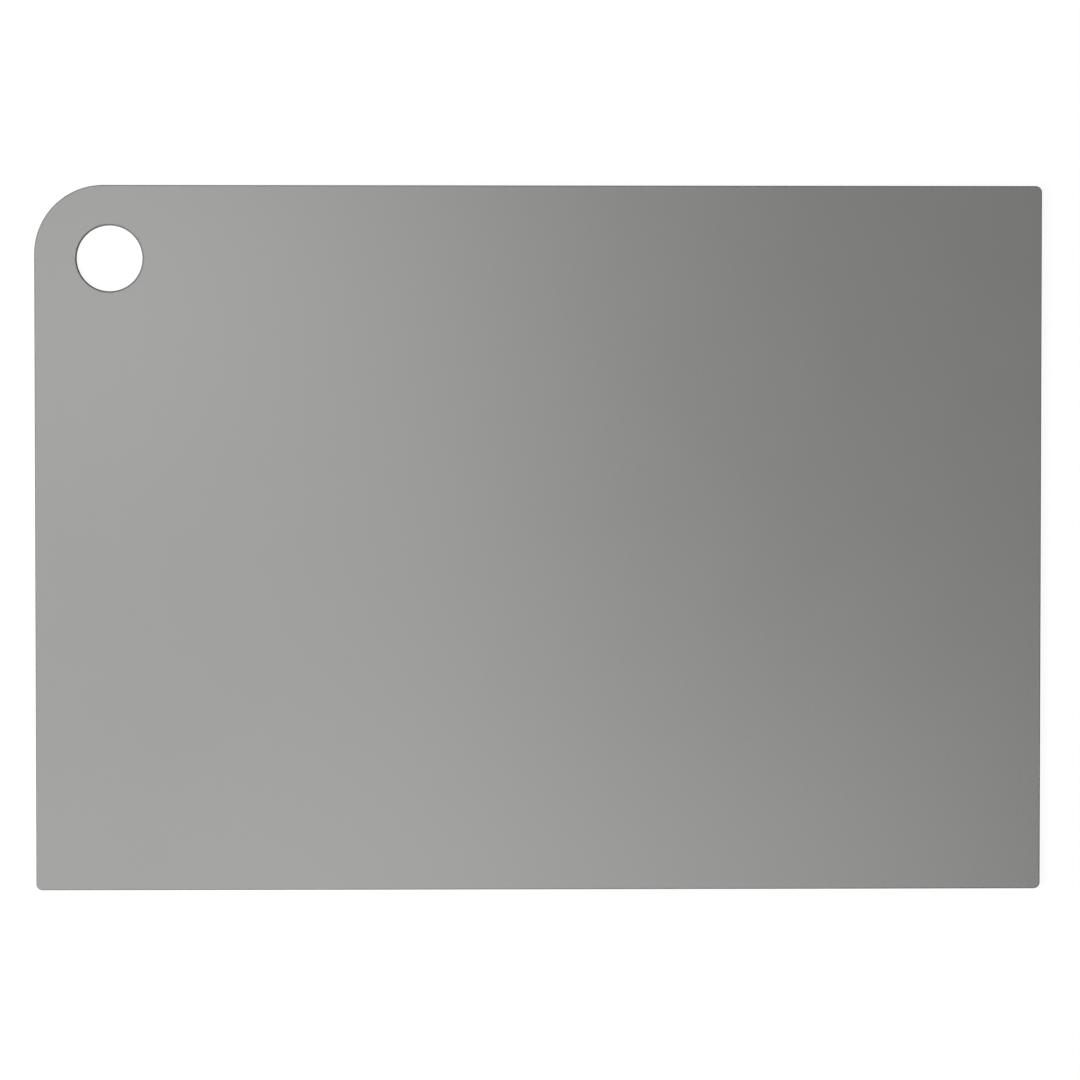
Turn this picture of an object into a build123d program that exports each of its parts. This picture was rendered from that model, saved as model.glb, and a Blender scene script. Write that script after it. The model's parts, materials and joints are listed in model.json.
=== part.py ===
from build123d import *
import os

# Flexible cutting mat: one thin sheet of soft plastic with a hanging hole near its one round corner.
# Millimetres. +X runs along the long sides, +Y points to the back edge, and +Z points up.
# The origin is the middle of the underside.

# Sheet
sheet_length = 400
sheet_width = 280
sheet_thickness = 1.5
# The round corner is at the back left, and the other three are only eased
round_corner_radius = 27.3
eased_corner_radius = 2.5
# The outer edge is rounded over on both faces
edge_rounding = 0.3
# Every rounding leaves a straight wall in the sheet's thickness, so it is no more than this share of it
most_rounding_share = 0.45

# Hanging hole, measured from the two edges that meet in the round corner
hole_diameter = 26
hole_from_left = 29.8
hole_from_back = 29
# Its rim is rounder than the outer edge, because a hook or a finger bears on it
hole_rounding = 0.6

# Bending: the long sides lift, and the sheet between them curls about lines along X.
# A flat margin along each long side holds the hole clear of the outermost bend line.
hole_to_bend_line = 8
strips_per_side = 7

# Overrun of the tools that cut right through the sheet
overrun = 5

half_length = sheet_length / 2
half_width = sheet_width / 2
margin_depth = hole_from_back + hole_diameter / 2 + hole_to_bend_line
inner_strips = 2 * strips_per_side + 1
strip_depth = (sheet_width - 2 * margin_depth) / inner_strips


def outline():
    """The sheet's flat shape, with its four corners rounded."""
    corners = [
        (-half_length, -half_width),
        (half_length, -half_width),
        (half_length, half_width),
        (-half_length, half_width),
    ]
    radii = [eased_corner_radius, eased_corner_radius, eased_corner_radius, round_corner_radius]
    return make_face(FilletPolyline(*corners, radius=radii, close=True))


def rounded_over(sheet, rounding, rims):
    """The sheet with the edges of its two faces rounded over: the hole's closed rims, or else the outer edge."""
    faces = sheet.faces().sort_by(Axis.Z)
    edges = (faces[0].edges() + faces[-1].edges()).filter_by(lambda edge: edge.is_closed == rims)
    return fillet(edges, min(rounding, most_rounding_share * sheet_thickness))


def whole_sheet():
    """The sheet in one piece: cut to its outline, with the hole punched and every edge rounded over."""
    hole_place = Pos(hole_from_left - half_length, half_width - hole_from_back)
    flat_shape = outline() - hole_place * Circle(hole_diameter / 2)
    sheet = extrude(flat_shape, amount=sheet_thickness)
    sheet = rounded_over(sheet, edge_rounding, rims=False)
    return rounded_over(sheet, hole_rounding, rims=True)


def strip(sheet, front, back):
    """The part of the sheet between two lines along X, given by their Y."""
    slab_size = (sheet_length + 2 * overrun, back - front, sheet_thickness + 2 * overrun)
    slab = Pos(0, (front + back) / 2, sheet_thickness / 2) * Box(*slab_size)
    return sheet & slab


def strips():
    """Every strip of the sheet by its name, counted outwards from the centre strip."""
    sheet = whole_sheet()
    half_strip = strip_depth / 2
    pieces = {"centre_strip": strip(sheet, -half_strip, half_strip)}
    for number in range(1, strips_per_side + 1):
        near = half_strip + (number - 1) * strip_depth
        far = near + strip_depth
        pieces[f"front_strip_{number}"] = strip(sheet, -far, -near)
        pieces[f"back_strip_{number}"] = strip(sheet, near, far)
    last_bend_line = half_width - margin_depth
    pieces["front_edge"] = strip(sheet, -half_width - overrun, -last_bend_line)
    pieces["back_edge"] = strip(sheet, last_bend_line, half_width + overrun)
    return pieces


os.makedirs("parts", exist_ok=True)
for name, piece in strips().items():
    export_step(piece, f"parts/{name}.step")
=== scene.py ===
"""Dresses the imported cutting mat: its bending sheet, its two flat margins, the plastic and the studio."""

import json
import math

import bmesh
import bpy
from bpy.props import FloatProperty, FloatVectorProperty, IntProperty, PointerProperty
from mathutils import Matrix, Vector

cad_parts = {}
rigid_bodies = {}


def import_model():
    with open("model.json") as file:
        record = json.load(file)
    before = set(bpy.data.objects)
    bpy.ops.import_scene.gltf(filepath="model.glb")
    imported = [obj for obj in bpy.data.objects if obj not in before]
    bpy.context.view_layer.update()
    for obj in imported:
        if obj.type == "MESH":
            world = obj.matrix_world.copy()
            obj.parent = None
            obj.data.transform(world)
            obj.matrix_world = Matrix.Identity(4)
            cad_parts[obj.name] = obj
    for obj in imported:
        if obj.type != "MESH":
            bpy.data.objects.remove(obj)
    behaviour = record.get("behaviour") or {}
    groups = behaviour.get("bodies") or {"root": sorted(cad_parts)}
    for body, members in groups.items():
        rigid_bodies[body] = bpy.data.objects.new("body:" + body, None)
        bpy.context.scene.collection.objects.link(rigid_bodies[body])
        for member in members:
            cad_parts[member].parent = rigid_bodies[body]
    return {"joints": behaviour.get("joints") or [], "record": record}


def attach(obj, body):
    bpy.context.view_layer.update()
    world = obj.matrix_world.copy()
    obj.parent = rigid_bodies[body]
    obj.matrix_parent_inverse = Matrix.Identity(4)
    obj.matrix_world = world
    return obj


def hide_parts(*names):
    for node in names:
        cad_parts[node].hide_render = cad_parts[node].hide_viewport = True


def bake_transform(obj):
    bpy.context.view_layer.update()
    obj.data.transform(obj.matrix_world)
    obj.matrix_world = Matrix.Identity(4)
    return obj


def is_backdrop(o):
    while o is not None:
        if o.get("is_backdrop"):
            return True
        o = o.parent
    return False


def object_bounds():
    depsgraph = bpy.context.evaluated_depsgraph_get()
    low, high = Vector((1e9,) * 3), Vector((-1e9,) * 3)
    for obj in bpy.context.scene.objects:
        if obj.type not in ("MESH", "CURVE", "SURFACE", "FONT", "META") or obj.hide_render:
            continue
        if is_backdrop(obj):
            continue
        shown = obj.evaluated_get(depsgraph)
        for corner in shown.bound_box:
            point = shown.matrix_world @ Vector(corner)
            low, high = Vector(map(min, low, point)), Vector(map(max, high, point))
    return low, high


bl_info = {
    "name": "Flexible Cutting Mat",
    "version": (1, 0, 0),
    "blender": (4, 5, 0),
    "location": "View3D > Sidebar > Cutting Mat",
    "description": "Builds the looks of a flexible cutting mat around its packed frame",
    "category": "Object",
}

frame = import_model()
cad_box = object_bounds()

MM = 0.001
SIDES = {"front": -1, "back": 1}
# Name of the mesh attribute that keeps each point's place on the flat sheet
FLAT_PLACE = "flat_place"

# The sheet, from the frame: its half sizes, its thickness, its hinges by side and its hole
HALF_LENGTH = cad_box[1].x
HALF_WIDTH = cad_box[1].y
THICKNESS = cad_box[1].z
HINGES = {side: [j for j in frame["joints"] if j["name"].startswith(side)] for side in SIDES}
HOLE = next(m for m in frame["record"]["mounts"] if m["name"] == "hanging_hole")
HOLE_CENTRE = Vector(HOLE["pos_m"][:2])
HOLE_RADIUS = HOLE["dims"]["r_mm"] * MM

# Subdivisions that make a smooth curl of the four rows of a bend, and the crease that keeps an edge sharp
CURL_LEVELS = 2
FULL_CREASE = 1.0
# In degrees
RIGHT_ANGLE, FULL_TURN = 90, 360

WHITE = "#FFFFFF"

# Names of the two finishes, and their places among the materials of every piece
FACE_MATERIAL = "polyurethane, moulded satin"
# The edge's material paints shade on the rounded rims of the edges and the hole with a darker colour
EDGE_MATERIAL = "polyurethane, cut edge"
FACE_SLOT, EDGE_SLOT = 0, 1

# Typical refractive index of polyurethane
PLASTIC_IOR = 1.49
# How many finer layers each noise texture has, and how strong they are
PIT_NOISE = {"Detail": 2.0, "Roughness": 0.6}
CLOUD_NOISE = {"Detail": 3.0, "Roughness": 0.5}
RIPPLE_NOISE = {"Detail": 2.0, "Roughness": 0.5}
# A noise texture hardly ever leaves this middle of its range
NOISE_MIDDLE = {"From Min": 0.3, "From Max": 0.7}

# Share of the floor that glows white to the camera and in reflections. The rest takes the shadow.
FLOOR_GLOW_SHARE = 0.8
# Strength of that glow. Beside the mat, it and the lit rest come to white together.
FLOOR_GLOW = 1.15
# Between these distances from the mat's middle, in metres, the glow alone rises to white,
# because no shadow falls there
FLOOR_WHITENS = (0.5, 1.5)
# Width of the floor, in metres
FLOOR_WIDTH = 6
# The floor lies this far under the mat, so that the two faces don't flicker
FLOOR_DROP = 0.05 * MM

# The soft lamps: where each hangs, its width and depth, in metres, and whether it makes a sheen.
# The low ones make none, because their mirror images would glare on the flat face.
LAMPS = {
    "top": ((-0.104, 0.008, 2.5), (0.93, 0.3), True),
    "front": ((0.088, -0.521, 2.5), (1.0, 0.3), True),
    "corner": ((-0.412, 0.246, 2.5), (0.44, 0.3), True),
    "key": ((-0.731, -0.31, 0.423), (0.54, 0.54), False),
    "rear": ((-0.485, 0.84, 0.242), (0.7, 0.4), False),
}
# Width of the camera's sensor, in millimetres
SENSOR_WIDTH = 36


def linear_colour(hex_code):
    """An sRGB hex colour as linear red, green, blue and alpha, by the curve of the sRGB standard."""
    channels = [int(hex_code[i:i + 2], 16) / 255 for i in (1, 3, 5)]
    return [c / 12.92 if c <= 0.04045 else ((c + 0.055) / 1.055) ** 2.4 for c in channels] + [1.0]


class MatSizes(bpy.types.PropertyGroup):
    """Sizes of the sheet's outline and edges, and how finely they are drawn."""

    round_corner: FloatProperty(
        name="Round corner",
        description="Radius of the corner beside the hanging hole",
        default=27.3 * MM,
        unit="LENGTH",
    )
    eased_corner: FloatProperty(
        name="Eased corners",
        description="Radius of the other three corners",
        default=2.5 * MM,
        unit="LENGTH",
    )
    edge_rounding: FloatProperty(
        name="Edge rounding",
        description="Radius to which the outer edge is rounded over on both faces",
        default=0.3 * MM,
        unit="LENGTH",
    )
    hole_rounding: FloatProperty(
        name="Hole rounding",
        description="Radius to which the hanging hole's rim is rounded over on both faces",
        default=0.6 * MM,
        unit="LENGTH",
    )
    flat_band: FloatProperty(
        name="Flat band",
        description="Width of the flat ring beside each rounding, which keeps the shading of the faces flat",
        default=0.3 * MM,
        unit="LENGTH",
    )
    rounding_steps: IntProperty(
        name="Rounding steps",
        description="Steps round each rounded edge",
        default=6,
        min=2,
    )
    degrees_per_step: IntProperty(
        name="Degrees per step",
        description="Turn of each step round a corner or the hole",
        default=3,
        min=1,
    )
    bend_share: FloatProperty(
        name="Bend share",
        description="Share of a strip's depth, on each side of its bend line, between which the sheet curls",
        default=0.25,
        subtype="FACTOR",
        min=0.05,
        max=0.45,
    )


class MatSurface(bpy.types.PropertyGroup):
    """Colour and finish of the plastic on its faces and at its edges."""

    colour: FloatVectorProperty(
        name="Colour",
        description="Colour of the plastic",
        default=linear_colour("#8B8B89"),
        subtype="COLOR",
        size=4,
        min=0,
        max=1,
    )
    # Darker than the plastic's colour: painted shade on the rounded rims of the edges and the hole
    edge_colour_painted_shade: FloatVectorProperty(
        name="Edge colour with painted shade",
        description="Colour of the plastic at its rounded edges and walls",
        default=linear_colour("#717170"),
        subtype="COLOR",
        size=4,
        min=0,
        max=1,
    )
    grain: FloatProperty(
        name="Grain",
        description="Width of one pit of the matt face",
        default=1.2 * MM,
        unit="LENGTH",
    )
    grain_depth: FloatProperty(
        name="Grain depth",
        description="Height between the pits and the peaks of the matt face",
        default=0.02 * MM,
        unit="LENGTH",
    )
    mottling: FloatProperty(
        name="Mottling",
        description="Width of the broad cloudy patches in the tone and the sheen",
        default=45 * MM,
        unit="LENGTH",
    )
    tone_change: FloatProperty(
        name="Tone change",
        description="Share by which the cloudy patches are lighter or darker than the colour",
        default=0.015,
        subtype="FACTOR",
    )
    face_roughness: FloatVectorProperty(
        name="Face roughness",
        description="Least and most roughness of the moulded faces",
        default=(0.254, 0.266),
        size=2,
    )
    edge_roughness: FloatVectorProperty(
        name="Edge roughness",
        description="Least and most roughness of the cut edges",
        default=(0.76, 0.84),
        size=2,
    )
    edge_sheen: FloatProperty(
        name="Edge sheen",
        description="Specular level of the cut edges, where 0.5 is that of a smooth plastic",
        default=0.1,
        subtype="FACTOR",
    )
    edge_ripple: FloatProperty(
        name="Edge ripple",
        description="Width of the uneven patches that the cut leaves along the edges",
        default=4 * MM,
        unit="LENGTH",
    )


class StudioSettings(bpy.types.PropertyGroup):
    """The camera's place and framing, and the lamps' strengths."""

    camera_place: FloatVectorProperty(
        name="Camera place",
        description="Where the camera stands over the mat's upper face, a little left of its middle",
        default=(-26.1 * MM, 39.9 * MM, 1500 * MM),
        subtype="XYZ",
        unit="LENGTH",
    )
    camera_tilt: FloatVectorProperty(
        name="Camera tilt",
        description="Turn of the camera away from straight down, which centres the mat in the picture",
        default=(math.radians(-1.549), math.radians(-1.01), 0.0),
        subtype="EULER",
    )
    frame_width: FloatProperty(
        name="Frame width",
        description="Width of the picture at the distance of the mat",
        default=429.2 * MM,
        unit="LENGTH",
    )
    top_power: FloatProperty(
        name="Top lamp",
        description="Power of the long soft lamp over the middle of the mat",
        default=3.5,
        unit="POWER",
    )
    front_power: FloatProperty(
        name="Front lamp",
        description="Power of the long soft lamp beyond the mat's front edge",
        default=5.9,
        unit="POWER",
    )
    corner_power: FloatProperty(
        name="Corner lamp",
        description="Power of the soft lamp beyond the mat's round corner",
        default=3.3,
        unit="POWER",
    )
    key_power: FloatProperty(
        name="Key lamp",
        description="Power of the low soft lamp near the front left corner, which shades the hole's rim",
        default=9.0,
        unit="POWER",
    )
    rear_power: FloatProperty(
        name="Rear lamp",
        description="Power of the low soft lamp behind the mat, which lights the back of a curled mat",
        default=3.0,
        unit="POWER",
    )
    fill_level: FloatProperty(name="Fill", description="Brightness of the room's soft light", default=0.03)
    floor_colour: FloatVectorProperty(
        name="Floor colour",
        description="Colour of the pale paper under the mat",
        default=linear_colour("#E6E6E6"),
        subtype="COLOR",
        size=4,
        min=0,
        max=1,
    )


def sizes():
    return bpy.context.scene.cutting_mat_sizes


def surface():
    return bpy.context.scene.cutting_mat_surface


def studio():
    return bpy.context.scene.cutting_mat_studio


def add_node(tree, kind, inputs=None, **settings):
    """Adds a shader node. Inputs give each socket its value, or the output that it is linked to."""
    made = tree.nodes.new(kind)
    for name, value in settings.items():
        setattr(made, name, value)
    for socket, value in (inputs or {}).items():
        if isinstance(value, bpy.types.NodeSocket):
            tree.links.new(value, made.inputs[socket])
        else:
            made.inputs[socket].default_value = value
    return made


def empty_material(name):
    """A new material whose node tree is empty."""
    material = bpy.data.materials.new(name)
    material.use_nodes = True
    material.node_tree.nodes.clear()
    return material, material.node_tree


def satin_face():
    """Soft polyurethane moulded in a spark-eroded tool: an even matt face with a soft wide sheen."""
    material, tree = empty_material(FACE_MATERIAL)
    place = add_node(tree, "ShaderNodeAttribute", attribute_name=FLAT_PLACE).outputs["Vector"]
    # Such pits are taken to be about 0.1 mm wide, finer than a pixel, so they are drawn coarser
    pits = add_node(
        tree,
        "ShaderNodeTexNoise",
        {"Vector": place, "Scale": 1 / surface().grain, **PIT_NOISE},
    ).outputs["Fac"]
    clouds = add_node(
        tree,
        "ShaderNodeTexNoise",
        {"Vector": place, "Scale": 1 / surface().mottling, **CLOUD_NOISE},
    ).outputs["Fac"]
    change = surface().tone_change
    tone = add_node(
        tree,
        "ShaderNodeMapRange",
        {"Value": clouds, **NOISE_MIDDLE, "To Min": 1 - change, "To Max": 1 + change},
        clamp=False,
    ).outputs["Result"]
    colour = add_node(
        tree,
        "ShaderNodeHueSaturation",
        {"Color": surface().colour, "Value": tone},
    ).outputs["Color"]
    smoothest, roughest = surface().face_roughness
    roughness = add_node(
        tree,
        "ShaderNodeMapRange",
        {"Value": clouds, **NOISE_MIDDLE, "To Min": smoothest, "To Max": roughest},
        clamp=False,
    ).outputs["Result"]
    bump = add_node(
        tree,
        "ShaderNodeBump",
        {"Height": pits, "Distance": surface().grain_depth, "Strength": 1.0},
    ).outputs["Normal"]
    shader = add_node(
        tree,
        "ShaderNodeBsdfPrincipled",
        {"Base Color": colour, "Roughness": roughness, "IOR": PLASTIC_IOR, "Normal": bump},
    )
    add_node(tree, "ShaderNodeOutputMaterial", {"Surface": shader.outputs["BSDF"]})
    return material


def cut_edge():
    """The same polyurethane where it was cut and eased: dull, with hardly any sheen, and its colour darkened
    to paint the shade on the rounded rims.
    """
    material, tree = empty_material(EDGE_MATERIAL)
    place = add_node(tree, "ShaderNodeAttribute", attribute_name=FLAT_PLACE).outputs["Vector"]
    ripples = add_node(
        tree,
        "ShaderNodeTexNoise",
        {"Vector": place, "Scale": 1 / surface().edge_ripple, **RIPPLE_NOISE},
    ).outputs["Fac"]
    smoothest, roughest = surface().edge_roughness
    roughness = add_node(
        tree,
        "ShaderNodeMapRange",
        {"Value": ripples, **NOISE_MIDDLE, "To Min": smoothest, "To Max": roughest},
        clamp=False,
    ).outputs["Result"]
    # The darker edge colour is painted shade on the rounded rims and walls
    shader = add_node(
        tree,
        "ShaderNodeBsdfPrincipled",
        {
            "Base Color": surface().edge_colour_painted_shade,
            "Roughness": roughness,
            "IOR": PLASTIC_IOR,
            "Specular IOR Level": surface().edge_sheen,
        },
    )
    add_node(tree, "ShaderNodeOutputMaterial", {"Surface": shader.outputs["BSDF"]})
    return material


def plastic_materials():
    """The face's and the edge's materials, made once and shared by every piece."""
    found = [bpy.data.materials.get(name) for name in (FACE_MATERIAL, EDGE_MATERIAL)]
    return found if all(found) else [satin_face(), cut_edge()]


def edge_profile(rounding):
    """A rounded edge as (inset, height) points, from the flat underside round to the flat upper face."""
    steps = sizes().rounding_steps
    quarter = [math.pi / 2 * i / steps for i in range(steps + 1)]
    lower = [(rounding * (1 - math.sin(a)), rounding * (1 - math.cos(a))) for a in quarter]
    upper = [(inset, THICKNESS - height) for inset, height in reversed(lower)]
    band = rounding + sizes().flat_band
    return [(band, 0.0)] + lower + upper + [(band, THICKNESS)]


def slot_of_step(profile, step):
    """The face's slot for the first and last steps of the profile, which lie flat, and else the edge's."""
    return FACE_SLOT if step in (0, len(profile) - 2) else EDGE_SLOT


def cap_end(bm, first, last):
    """Closes an end with a ladder of faces between two edge profiles, and keeps its rim sharp."""
    for k in range(len(first) - 1):
        face = bm.faces.new((first[k], first[k + 1], last[k + 1], last[k]))
        face.material_index = EDGE_SLOT
    rim = [(first[k], first[k + 1]) for k in range(len(first) - 1)]
    rim += [(last[k], last[k + 1]) for k in range(len(last) - 1)]
    rim += [(first[0], last[0]), (first[-1], last[-1])]
    edges = [bm.edges.get(pair) for pair in rim]
    for edge in edges:
        edge.smooth = False
    return edges


def finished_object(bm, name):
    """Turns a bmesh into a smooth object that carries its place on the flat sheet and the two plastics."""
    bmesh.ops.recalc_face_normals(bm, faces=bm.faces)
    for face in bm.faces:
        face.smooth = True
    mesh = bpy.data.meshes.new(name)
    bm.to_mesh(mesh)
    bm.free()
    place = mesh.attributes.new(FLAT_PLACE, "FLOAT_VECTOR", "POINT")
    for vertex, value in zip(mesh.vertices, place.data):
        value.vector = vertex.co
    for material in plastic_materials():
        mesh.materials.append(material)
    piece = bpy.data.objects.new(name, mesh)
    bpy.context.scene.collection.objects.link(piece)
    return piece


def strip_depth(side):
    """Distance between two bend lines of a side."""
    lines = [abs(hinge["pos_m"][1]) for hinge in HINGES[side]]
    return (lines[-1] - lines[0]) / (len(lines) - 1)


def add_bend(side, hinge):
    """The sheet from the middle of one strip to the middle of the next, which curls where they meet."""
    outward = SIDES[side]
    depth = strip_depth(side)
    line = hinge["pos_m"][1]
    curl = sizes().bend_share * depth
    # Two rows on each side of the bend line. The sheet curls between the inner two.
    rows_y = [line + outward * step for step in (-depth / 2, -curl, curl, depth / 2)]
    profile = edge_profile(sizes().edge_rounding)
    bm = bmesh.new()
    crease = bm.edges.layers.float.new("crease_edge")
    rows = []
    for y in rows_y:
        left = [bm.verts.new((inset - HALF_LENGTH, y, height)) for inset, height in profile]
        right = [bm.verts.new((HALF_LENGTH - inset, y, height)) for inset, height in profile]
        rows.append((left, right))
    for (near_left, near_right), (far_left, far_right) in zip(rows, rows[1:]):
        for near, far in ((near_left, far_left), (near_right, far_right)):
            for k in range(len(profile) - 1):
                face = bm.faces.new((near[k], near[k + 1], far[k + 1], far[k]))
                face.material_index = slot_of_step(profile, k)
        # The underside joins the first points of the left and right profiles, and the upper face the last
        for k in (0, -1):
            bm.faces.new((near_left[k], near_right[k], far_right[k], far_left[k]))
        for near, far in ((near_left, far_left), (near_right, far_right)):
            for a, b in zip(near, far):
                bm.edges.get((a, b))[crease] = FULL_CREASE
    for left, right in (rows[0], rows[-1]):
        for edge in cap_end(bm, left, right):
            edge[crease] = FULL_CREASE
    piece = finished_object(bm, hinge["name"])
    smooth = piece.modifiers.new("curl", "SUBSURF")
    smooth.levels = CURL_LEVELS
    smooth.render_levels = CURL_LEVELS
    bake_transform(piece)
    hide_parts(hinge["parent"], hinge["child"])


def corner_path(side, x_side, radius):
    """Points round one corner of the outline, from its +X end to its -X end, with their outward normals."""
    outward = SIDES[side]
    centre = Vector((x_side * (HALF_LENGTH - radius), outward * (HALF_WIDTH - radius)))
    steps = round(RIGHT_ANGLE / sizes().degrees_per_step)
    path = []
    for i in range(steps + 1):
        turn = math.radians(RIGHT_ANGLE * i / steps)
        along, across = math.cos(turn), math.sin(turn)
        if x_side < 0:
            along, across = -across, along
        normal = Vector((along, outward * across))
        path.append((centre + radius * normal, normal))
    return path


def hole_path():
    """Points round the hanging hole, with the normals that point out of the plastic."""
    steps = round(FULL_TURN / sizes().degrees_per_step)
    path = []
    for i in range(steps):
        turn = math.tau * i / steps
        away = Vector((math.cos(turn), math.sin(turn)))
        path.append((HOLE_CENTRE + HOLE_RADIUS * away, -away))
    return path


def sweep_edge(bm, path, rounding, closed):
    """Sweeps a rounded edge along a path. Gives its columns of vertices, one for each point of the path."""
    profile = edge_profile(rounding)
    columns = []
    for point, normal in path:
        places = [point - inset * normal for inset, height in profile]
        columns.append([bm.verts.new((p.x, p.y, height)) for p, (inset, height) in zip(places, profile)])
    pairs = list(zip(columns, columns[1:]))
    if closed:
        pairs.append((columns[-1], columns[0]))
    for one, two in pairs:
        for k in range(len(profile) - 1):
            face = bm.faces.new((one[k], one[k + 1], two[k + 1], two[k]))
            face.material_index = slot_of_step(profile, k)
    return columns


def add_margin(side, inner):
    """The flat margin outside the last bend line, from inner to the edge, with any hanging hole in it."""
    outward = SIDES[side]
    has_hole = (inner - HOLE_CENTRE.y) * (outward * HALF_WIDTH - HOLE_CENTRE.y) < 0
    left_radius = sizes().round_corner if has_hole else sizes().eased_corner
    path = [(Vector((HALF_LENGTH, inner)), Vector((1, 0)))]
    path += corner_path(side, 1, sizes().eased_corner)
    path += corner_path(side, -1, left_radius)
    path += [(Vector((-HALF_LENGTH, inner)), Vector((-1, 0)))]
    bm = bmesh.new()
    columns = sweep_edge(bm, path, sizes().edge_rounding, closed=False)
    cap_end(bm, columns[0], columns[-1])
    hole_columns = sweep_edge(bm, hole_path(), sizes().hole_rounding, closed=True) if has_hole else []
    for k in (0, -1):
        loops = [[column[k] for column in columns]]
        loops += [[column[k] for column in hole_columns]] if has_hole else []
        edges = [bm.edges.get((a, b)) for loop in loops for a, b in zip(loop, loop[1:] + loop[:1])]
        bmesh.ops.triangle_fill(bm, edges=edges, use_beauty=True)
    piece = finished_object(bm, f"{side}_margin")
    last_hinge = HINGES[side][-1]
    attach(piece, last_hinge["child"])
    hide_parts(last_hinge["child"])


class MAT_OT_add_bends(bpy.types.Operator):
    """Add the curling middle of the sheet, one piece for each bend line"""

    bl_idname = "cutting_mat.add_bends"
    bl_label = "Add Bending Sheet"

    def execute(self, context):
        for side, hinges in HINGES.items():
            for hinge in hinges:
                add_bend(side, hinge)
        return {"FINISHED"}


class MAT_OT_add_margins(bpy.types.Operator):
    """Add the two flat margins, with the corners and the hanging hole"""

    bl_idname = "cutting_mat.add_margins"
    bl_label = "Add Flat Margins"

    def execute(self, context):
        for side, outward in SIDES.items():
            last_line = HINGES[side][-1]["pos_m"][1]
            add_margin(side, last_line + outward * strip_depth(side) / 2)
        return {"FINISHED"}


def seeing_rays(tree):
    """1 for a ray from the camera, a reflection or a transmission, which sees a white studio, and else 0."""
    rays = add_node(tree, "ShaderNodeLightPath").outputs
    seen = rays["Is Camera Ray"]
    for kind in ("Is Glossy Ray", "Is Transmission Ray"):
        seen = add_node(tree, "ShaderNodeMath", {0: seen, 1: rays[kind]}, operation="MAXIMUM").outputs[0]
    return seen


def add_floor():
    """A pale floor that the camera and reflections see as white, with the mat's faint shadow on it."""
    bpy.ops.mesh.primitive_plane_add(size=FLOOR_WIDTH, location=(0, 0, -FLOOR_DROP))
    floor = bpy.context.object
    floor.name = "floor"
    material, tree = empty_material("pale paper, matt")
    place = add_node(tree, "ShaderNodeNewGeometry").outputs["Position"]
    distance = add_node(tree, "ShaderNodeVectorMath", {0: place}, operation="LENGTH").outputs["Value"]
    near, far = FLOOR_WHITENS
    glowing = add_node(
        tree,
        "ShaderNodeMapRange",
        {
            "Value": distance,
            "From Min": near,
            "From Max": far,
            "To Min": FLOOR_GLOW_SHARE,
            "To Max": 1 / FLOOR_GLOW,
        },
    )
    share = add_node(
        tree,
        "ShaderNodeMath",
        {0: seeing_rays(tree), 1: glowing.outputs["Result"]},
        operation="MULTIPLY",
    )
    paper = add_node(tree, "ShaderNodeBsdfDiffuse", {"Color": studio().floor_colour})
    glow = add_node(tree, "ShaderNodeEmission", {"Color": linear_colour(WHITE), "Strength": FLOOR_GLOW})
    mixed = add_node(
        tree,
        "ShaderNodeMixShader",
        {0: share.outputs[0], 1: paper.outputs["BSDF"], 2: glow.outputs["Emission"]},
    )
    add_node(tree, "ShaderNodeOutputMaterial", {"Surface": mixed.outputs["Shader"]})
    floor.data.materials.append(material)
    floor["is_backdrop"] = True


def set_world():
    """White to the camera and reflections, and a soft even light to everything else."""
    world = bpy.data.worlds.new("studio")
    world.use_nodes = True
    tree = world.node_tree
    tree.nodes.clear()
    white = linear_colour(WHITE)
    soft = add_node(tree, "ShaderNodeBackground", {"Color": white, "Strength": studio().fill_level})
    bright = add_node(tree, "ShaderNodeBackground", {"Color": white, "Strength": 1.0})
    mixed = add_node(
        tree,
        "ShaderNodeMixShader",
        {0: seeing_rays(tree), 1: soft.outputs["Background"], 2: bright.outputs["Background"]},
    )
    add_node(tree, "ShaderNodeOutputWorld", {"Surface": mixed.outputs["Shader"]})
    bpy.context.scene.world = world


def add_lamp(name, place, size, power, sheen):
    """A soft rectangular lamp, turned to the middle of the mat, which the camera doesn't see."""
    light = bpy.data.lights.new(name, "AREA")
    light.shape = "RECTANGLE"
    light.size, light.size_y = size
    light.energy = power
    lamp = bpy.data.objects.new(name, light)
    lamp.location = place
    lamp.rotation_euler = Vector(place).to_track_quat("Z", "Y").to_euler()
    lamp.visible_camera = False
    lamp.visible_glossy = sheen
    bpy.context.scene.collection.objects.link(lamp)


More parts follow.
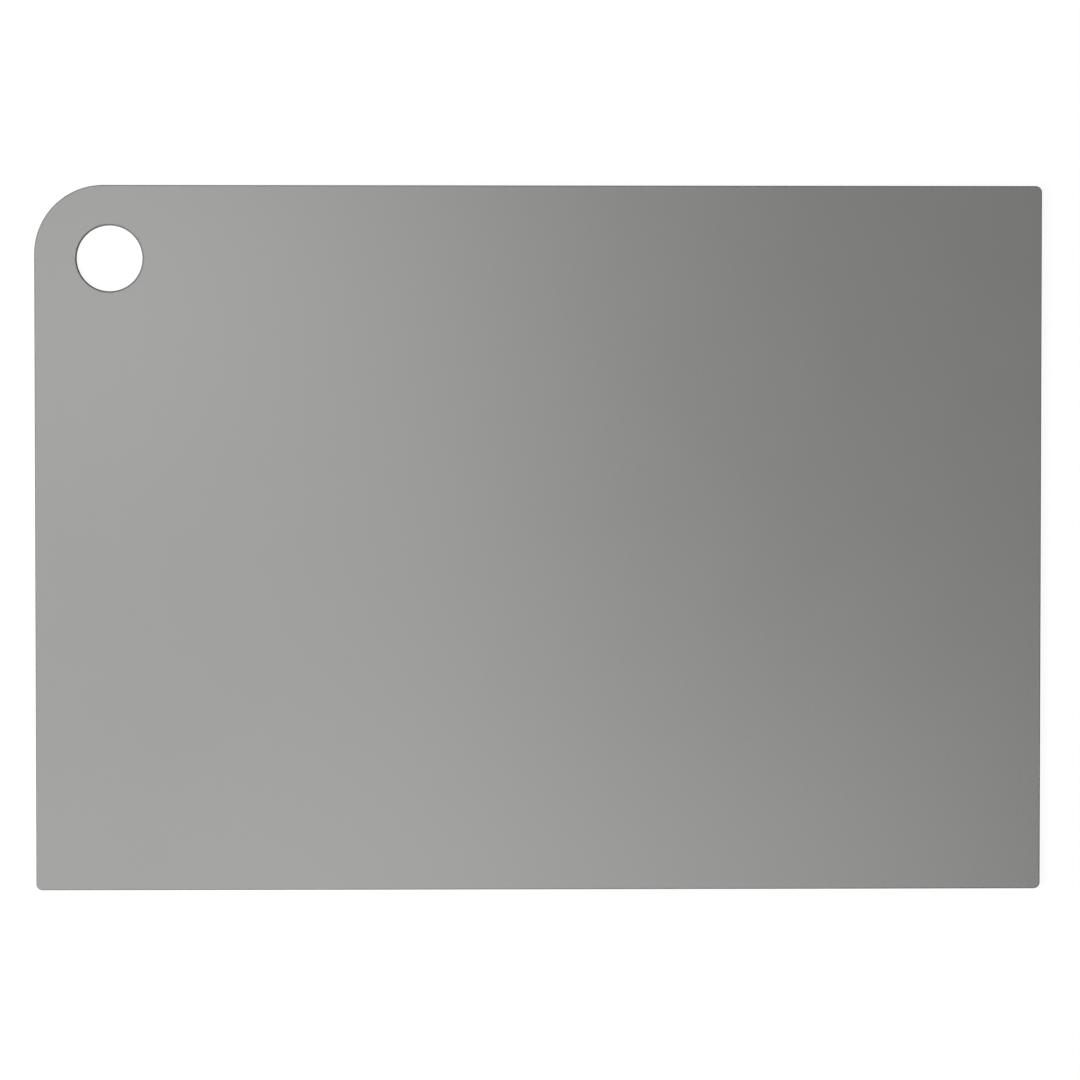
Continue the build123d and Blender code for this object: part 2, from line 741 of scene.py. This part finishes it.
def add_camera():
    """Looks down on the mat from nearly straight above, as the photograph does."""
    data = bpy.data.cameras.new("camera")
    data.sensor_width = SENSOR_WIDTH
    x, y, height = studio().camera_place
    data.lens = SENSOR_WIDTH * height / studio().frame_width
    camera = bpy.data.objects.new("camera", data)
    camera.location = (x, y, THICKNESS + height)
    camera.rotation_euler = studio().camera_tilt
    bpy.context.scene.collection.objects.link(camera)
    bpy.context.scene.camera = camera


class MAT_OT_set_stage(bpy.types.Operator):
    """Set the pale floor, the soft lamps, the world and the camera"""

    bl_idname = "cutting_mat.set_stage"
    bl_label = "Set Stage"

    def execute(self, context):
        context.scene.view_settings.view_transform = "Standard"
        add_floor()
        set_world()
        for name, (place, size, sheen) in LAMPS.items():
            add_lamp(f"{name} lamp", place, size, getattr(studio(), f"{name}_power"), sheen)
        add_camera()
        return {"FINISHED"}


OPERATORS = (MAT_OT_add_bends, MAT_OT_add_margins, MAT_OT_set_stage)


class MAT_PT_panel(bpy.types.Panel):
    """Lists the mat's sizes, its surface, the studio and the steps that build them."""

    bl_label = "Cutting Mat"
    bl_idname = "MAT_PT_panel"
    bl_space_type = "VIEW_3D"
    bl_region_type = "UI"
    bl_category = "Cutting Mat"

    def draw(self, context):
        for group in (sizes(), surface(), studio()):
            column = self.layout.column()
            for name in group.__annotations__:
                column.prop(group, name)
        for operator in OPERATORS:
            self.layout.operator(operator.bl_idname)


CLASSES = (MatSizes, MatSurface, StudioSettings) + OPERATORS + (MAT_PT_panel,)


def register():
    for cls in CLASSES:
        bpy.utils.register_class(cls)
    bpy.types.Scene.cutting_mat_sizes = PointerProperty(type=MatSizes)
    bpy.types.Scene.cutting_mat_surface = PointerProperty(type=MatSurface)
    bpy.types.Scene.cutting_mat_studio = PointerProperty(type=StudioSettings)


def unregister():
    del bpy.types.Scene.cutting_mat_studio
    del bpy.types.Scene.cutting_mat_surface
    del bpy.types.Scene.cutting_mat_sizes
    for cls in reversed(CLASSES):
        bpy.utils.unregister_class(cls)


def main():
    register()
    bpy.ops.cutting_mat.add_bends()
    bpy.ops.cutting_mat.add_margins()
    bpy.ops.cutting_mat.set_stage()
    boxes = {"cad": cad_box, "visual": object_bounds()}
    boxes = {name: [list(corner) for corner in box] for name, box in boxes.items()}


if __name__ == "__main__":
    main()
